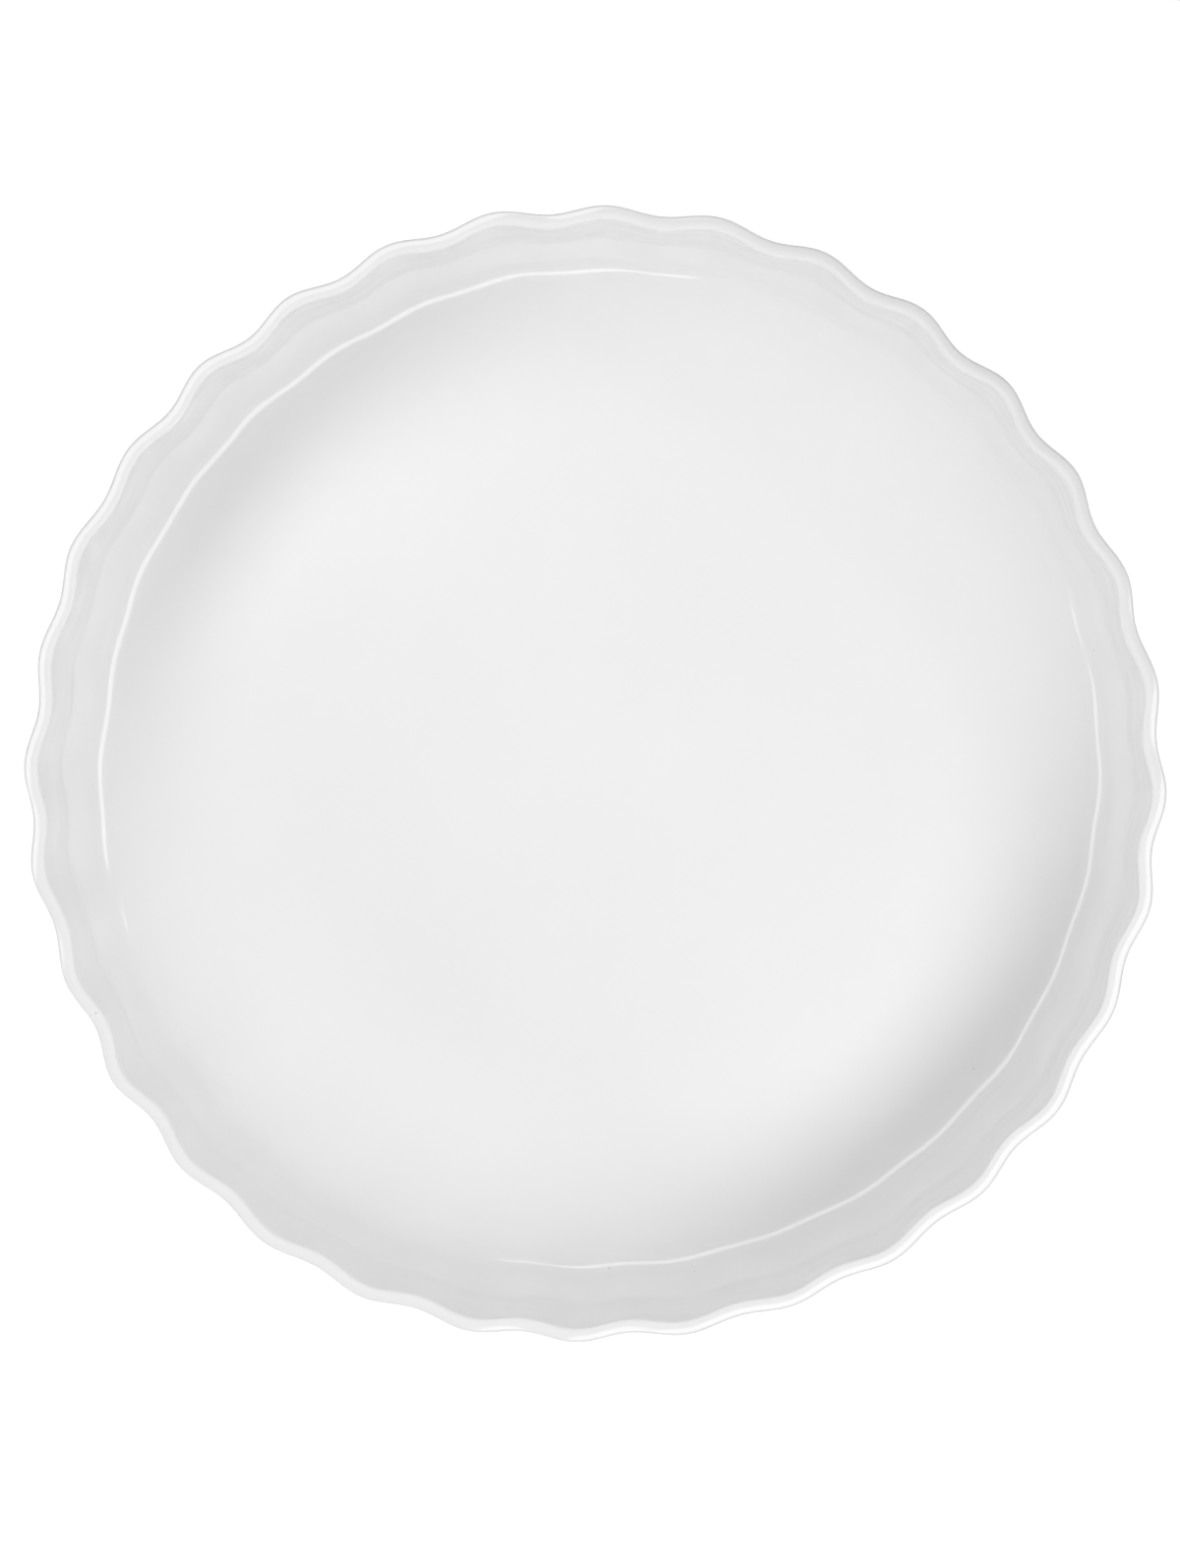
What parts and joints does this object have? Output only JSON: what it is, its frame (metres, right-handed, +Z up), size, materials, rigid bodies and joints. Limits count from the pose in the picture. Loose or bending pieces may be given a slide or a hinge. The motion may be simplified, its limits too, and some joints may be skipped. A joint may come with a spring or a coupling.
{
  "type": "tart dish",
  "caption": "Round ceramic tart dish with a flat floor, a low fluted wall that leans out, a rounded rim and a bare foot ring, for baking and serving a tart.",
  "frame": {"origin": "centre of the foot ring's standing face, at table level", "axes": "+Z up along the dish's axis, out of its mouth; +X through a flute crest"},
  "size_m": [0.28, 0.28, 0.042],
  "materials": {
    "biscuit": "matt fired clay, bare only on the foot ring",
    "white_glaze": "smooth glossy opaque white glaze"
  },
  "bodies": {
    "root": {"stoneware_body": "biscuit", "dish_glaze": "white_glaze", "underside_glaze": "white_glaze"}
  },
  "joints": []
}
